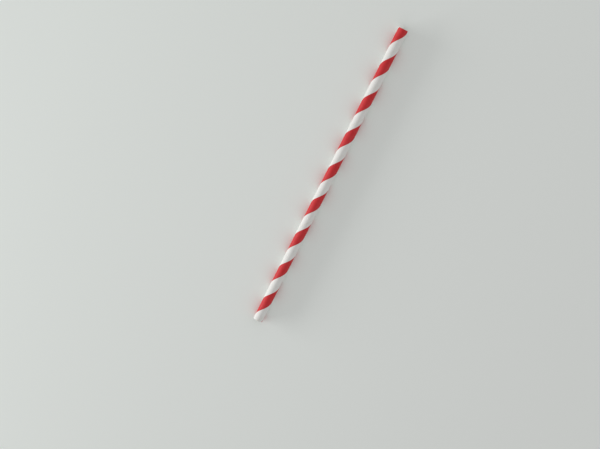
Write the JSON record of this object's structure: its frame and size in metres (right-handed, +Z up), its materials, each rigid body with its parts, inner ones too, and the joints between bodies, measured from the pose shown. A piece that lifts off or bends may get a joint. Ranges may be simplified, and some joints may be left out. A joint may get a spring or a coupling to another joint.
{
  "type": "paper drinking straw",
  "caption": "Straight paper drinking straw: a spirally wound paper tube, open at both ends, with one red spiral stripe on white.",
  "frame": {"origin": "on the surface that the straw lies on, under the middle of its length", "axes": "+X along the straw's axis to the drinking end, +Z up from the surface to the side that the picture shows"},
  "size_m": [0.197, 0.006, 0.0059],
  "materials": {
    "white_paper": "matt uncoated white paper, faintly fibrous",
    "red_print": "matt red print on white paper"
  },
  "bodies": {
    "root": {"paper_tube": "white_paper", "red_stripe": "red_print"}
  },
  "joints": []
}
